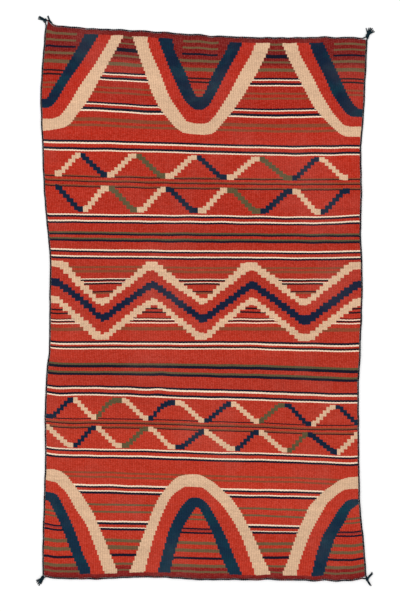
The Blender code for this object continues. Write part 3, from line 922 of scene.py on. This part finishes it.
def web_wool():
    """Tapestry wool: the charted pattern, streaks of dye along the weft, ribs over the warps, with painted
    shade in their grooves and painted highlights on their crests.
    """
    material = bpy.data.materials.new("tapestry wool")
    material.use_nodes = True
    tree = material.node_tree
    shader = tree.nodes["Principled BSDF"]
    weave, across, counted, height = place_in_cloth(tree)
    warp, pair, stair = (in_steps(tree, counted, warps) for warps in (1, ROW_STEP_WARPS, STAIR_WARPS))
    bead = tree.nodes.new("ShaderNodeCombineXYZ")
    tree.links.new(counted, bead.inputs[0])
    tree.links.new(maths(tree, "FLOOR", times(tree, height, 1 / BEAD_HEIGHT)), bead.inputs[1])
    chance = tree.nodes.new("ShaderNodeTexWhiteNoise")
    tree.links.new(bead.outputs[0], chance.inputs["Vector"])
    chance = chance.outputs["Value"]

    ribs = maths(tree, "ABSOLUTE", maths(tree, "SINE", times(tree, across, math.pi * WARPS)))
    # Pale fuzz and painted highlight: fibre colour laid on the ribs' crests, more at random beads
    fuzz_and_highlight = times(tree, times(tree, chance, ribs), FUZZ_AND_HIGHLIGHT_SHARE)

    def with_fuzz_and_highlight(dye):
        return laid_over(tree, fuzz_and_highlight, dye, PALE_FIBRE_AND_HIGHLIGHT)

    ground, _ = ramp(tree, maths(tree, "DIVIDE", height, CLOTH_LENGTH),
                     [(mm / CLOTH_LENGTH, chip, 1.0) for mm, chip in GROUND])
    colour = with_fuzz_and_highlight(ground)

    patches = uneven(tree, weave, (9.0, 24.0), 0.46, 0.7)
    navy = laid_over(tree, patches, NAVY, TEAL)

    def cover(mask, over):
        nonlocal colour
        colour = laid_over(tree, mask, colour, over)

    def cover_stripes(rows, mask=None):
        shade, shown = striped(tree, height, rows)
        cover(shown if mask is None else times(tree, shown, mask), shade)

    def band(low_edge, high_edge):
        return times(tree, above(tree, height, low_edge), below(tree, height, high_edge))

    for rows in FULL_STRIPES:
        cover_stripes(rows)

    top = band(TOP_FROM, TOP_TO)
    cream_low, cream_high, navy_low, navy_high = (
        charted(tree, warp, chart) for chart in (TOP_CREAM_LOW, TOP_CREAM_HIGH, TOP_NAVY_LOW, TOP_NAVY_HIGH))
    cover_stripes(ARCH_STRIPES_TOP, times(tree, top, below(tree, height, cream_low)))
    margin = times(tree, top, above(tree, height, navy_high))
    cover_stripes(MARGIN_STRIPES_TOP, margin)
    for first, last in SHORT_STRIPE_RUNS:
        run = times(tree, above(tree, across, first / WARPS), below(tree, across, last / WARPS))
        cover_stripes(SHORT_STRIPES_TOP, times(tree, margin, run))
    cover(times(tree, top, band(cream_high, navy_low)), with_fuzz_and_highlight(RED))
    cover(times(tree, top, band(cream_low, cream_high)), CREAM)
    cover(times(tree, top, band(navy_low, navy_high)), navy)

    bottom = band(BOTTOM_FROM, BOTTOM_TO)
    cream_low, cream_high, navy_low, navy_high = (
        charted(tree, warp, chart)
        for chart in (BOTTOM_CREAM_LOW, BOTTOM_CREAM_HIGH, BOTTOM_NAVY_LOW, BOTTOM_NAVY_HIGH))
    cover_stripes(ARCH_STRIPES_BOTTOM, times(tree, bottom, above(tree, height, cream_high)))
    cover_stripes(MARGIN_STRIPES_BOTTOM, times(tree, bottom, below(tree, height, navy_low)))
    cover(times(tree, bottom, band(navy_high, cream_low)), with_fuzz_and_highlight(ORANGE_RED))
    cover(times(tree, bottom, band(cream_low, cream_high)), CREAM)
    cover(times(tree, bottom, band(navy_low, navy_high)), laid_over(tree, patches, SEA_NAVY, TEAL))

    upper_high = charted(tree, stair, MIDDLE_UPPER_HIGH)
    lower_low = charted(tree, stair, MIDDLE_LOWER_LOW)
    cover_stripes(MIDDLE_UPPER_STRIPES, above(tree, height, upper_high))
    cover_stripes(MIDDLE_LOWER_STRIPES, below(tree, height, lower_low))
    cover(band(charted(tree, stair, MIDDLE_UPPER_LOW), upper_high), CREAM)
    cover(band(charted(tree, stair, MIDDLE_NAVY_LOW), charted(tree, stair, MIDDLE_NAVY_HIGH)), MIDDLE_NAVY)
    cover(band(lower_low, charted(tree, stair, MIDDLE_LOWER_HIGH)), CREAM)

    for chart, runs, half, low, high, first, last in ROWS_OF_STEPS:
        middle = charted(tree, pair, chart)
        off = maths(tree, "ABSOLUTE", maths(tree, "SUBTRACT", height, middle))
        shown = times(tree, below(tree, off, half), band(low, high))
        shown = times(tree, shown, above(tree, across, first / WARPS))
        shown = times(tree, shown, below(tree, across, last / WARPS))
        cover(shown, coloured_runs(tree, across, runs))

    # Painted shade in the grooves between the ribs, and uneven dye: long streaks along the weft, soft clouds,
    # specks, and beads of yarn that differ
    tone = maths(tree, "MULTIPLY_ADD", ribs, GROOVE_SHADE, 1 - GROOVE_SHADE * 2 / math.pi)
    tone = maths(tree, "MULTIPLY_ADD", maths(tree, "SUBTRACT", chance, 0.5), BEAD_SHADE, tone)
    for scale, amount in UNEVEN_DYE:
        clouds = uneven(tree, weave, scale, 0.3, 0.7)
        tone = maths(tree, "MULTIPLY_ADD", maths(tree, "SUBTRACT", clouds, 0.5), amount, tone)
    colour = laid_over(tree, 1.0, colour, tone, "MULTIPLY")

    # Wear: patches where feet have felted and paled the wool
    worn = uneven(tree, weave, (4.0, 6.0), 0.5, 0.8)
    colour = laid_over(tree, times(tree, worn, WORN_PALER), colour, PALE_FIBRE_AND_HIGHLIGHT)
    tree.links.new(colour, shader.inputs["Base Color"])
    roughness = maths(tree, "MULTIPLY_ADD", worn, -WORN_SMOOTHER, WOOL_ROUGHNESS)
    tree.links.new(roughness, shader.inputs["Roughness"])

    # Ribs over the warps, and the beads of the picks on them, in relief
    beads = maths(tree, "ABSOLUTE", maths(tree, "SINE", times(tree, height, math.pi / BEAD_HEIGHT)))
    relief = maths(tree, "ADD", ribs, times(tree, beads, 0.5))
    bump = tree.nodes.new("ShaderNodeBump")
    bump.inputs["Distance"].default_value = WEB_RELIEF
    bump.inputs["Strength"].default_value = 0.8
    tree.links.new(relief, bump.inputs["Height"])
    tree.links.new(bump.outputs["Normal"], shader.inputs["Normal"])
    shader.inputs["Specular IOR Level"].default_value = WOOL_SPECULAR
    shader.inputs["Sheen Weight"].default_value = 0.04
    shader.inputs["Sheen Roughness"].default_value = 0.5
    return material


def yarn_wool(name, dark, light, flecks=0.0):
    """Spun yarn: two dyes mottled along it, fibres in relief, and the web's red drawn over it in places."""
    material = bpy.data.materials.new(name)
    material.use_nodes = True
    tree = material.node_tree
    shader = tree.nodes["Principled BSDF"]
    place = tree.nodes.new("ShaderNodeTexCoord")
    mottle = tree.nodes.new("ShaderNodeTexNoise")
    mottle.inputs["Scale"].default_value = 260.0
    mottle.inputs["Detail"].default_value = 4.0
    tree.links.new(place.outputs["Object"], mottle.inputs["Vector"])
    depth = share_of(tree, mottle.outputs["Fac"], 0.35, 0.7)
    colour = laid_over(tree, depth, dark, light)
    turns = tree.nodes.new("ShaderNodeTexNoise")
    turns.inputs["Scale"].default_value = 55.0
    tree.links.new(place.outputs["Object"], turns.inputs["Vector"])
    drawn_over = times(tree, share_of(tree, turns.outputs["Fac"], 0.54, 0.6), flecks)
    colour = laid_over(tree, drawn_over, colour, DRAWN_OVER)
    tree.links.new(colour, shader.inputs["Base Color"])
    fibres = tree.nodes.new("ShaderNodeTexNoise")
    fibres.inputs["Scale"].default_value = 2600.0
    fibres.inputs["Detail"].default_value = 3.0
    tree.links.new(place.outputs["Object"], fibres.inputs["Vector"])
    bump = tree.nodes.new("ShaderNodeBump")
    bump.inputs["Distance"].default_value = YARN_RELIEF
    bump.inputs["Strength"].default_value = 0.7
    tree.links.new(fibres.outputs["Fac"], bump.inputs["Height"])
    tree.links.new(bump.outputs["Normal"], shader.inputs["Normal"])
    shader.inputs["Roughness"].default_value = WOOL_ROUGHNESS
    shader.inputs["Specular IOR Level"].default_value = WOOL_SPECULAR
    shader.inputs["Sheen Weight"].default_value = 0.05
    return material


# The camera, straight above, with the photograph's frame
PIXEL = 2.373 * MM
FRAME_HEIGHT = 612 * PIXEL
LENS = 85.0
SENSOR = 36.0
FRAME_MIDDLE = (-5.4 * PIXEL, -5.1 * PIXEL)    # where the photograph's middle lies on the floor
LAMP_PLACE = (-1.2, 1.4, 4.2)
LAMP_SIZE = 2.2
LAMP_POWER = 56.0
SURROUND_STRENGTH = 0.96
FLOOR_WHITE = 0.9


def add_camera():
    camera = bpy.data.cameras.new("camera")
    camera.lens = LENS
    camera.sensor_width = SENSOR
    camera.clip_end = 20.0
    eye = bpy.data.objects.new("camera", camera)
    eye.location = (*FRAME_MIDDLE, FRAME_HEIGHT * LENS / SENSOR + WEB_THICKNESS)
    bpy.context.scene.collection.objects.link(eye)
    bpy.context.scene.camera = eye


def add_light(name, place, size, power):
    light = bpy.data.lights.new(name, "AREA")
    light.size = size
    light.energy = power
    lamp = bpy.data.objects.new(name, light)
    lamp.location = place
    lamp.rotation_euler = (-Vector(place)).to_track_quat("-Z", "Y").to_euler()
    bpy.context.scene.collection.objects.link(lamp)


def add_studio():
    """A pale floor, a bright even surround and one large soft lamp."""
    deselect()
    bpy.ops.mesh.primitive_plane_add(size=8.0)
    floor = bpy.context.object
    floor.name = "floor"
    paint = bpy.data.materials.new("pale floor")
    paint.use_nodes = True
    shader = paint.node_tree.nodes["Principled BSDF"]
    shader.inputs["Base Color"].default_value = (FLOOR_WHITE, FLOOR_WHITE, FLOOR_WHITE, 1.0)
    shader.inputs["Roughness"].default_value = 0.9
    floor.data.materials.append(paint)
    world = bpy.data.worlds.new("studio")
    world.use_nodes = True
    surround = world.node_tree.nodes["Background"]
    surround.inputs["Color"].default_value = (1.0, 1.0, 1.0, 1.0)
    surround.inputs["Strength"].default_value = SURROUND_STRENGTH
    bpy.context.scene.world = world
    add_light("soft lamp", LAMP_PLACE, LAMP_SIZE, LAMP_POWER)
    bpy.context.scene.view_settings.view_transform = "Standard"


def main():
    add_camera()
    add_studio()
    web = make_web()
    web.data.materials.append(web_wool())
    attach(web, "root")
    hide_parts("tapestry_web")
    cord_wools = {
        SIDE_TWIST: yarn_wool("side cord wool", (3, 4, 9), (20, 17, 26), 0.25),
        END_TWIST: yarn_wool("end cord wool", (3, 7, 15), (20, 30, 44), 0.7),
    }
    for cord in CORDS:
        piece = make_cord(*cord)
        piece.data.materials.append(cord_wools[cord[-1]])
        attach(piece, "root")
        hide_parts(cord[0])
    tassel_wool = yarn_wool("tassel wool", (2, 12, 20), (18, 48, 58))
    for name, sizes in TASSELS.items():
        piece = make_tassel(name, sizes)
        piece.data.materials.append(tassel_wool)
        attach(piece, "root")
        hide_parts(f"tassel_{name}")


main()
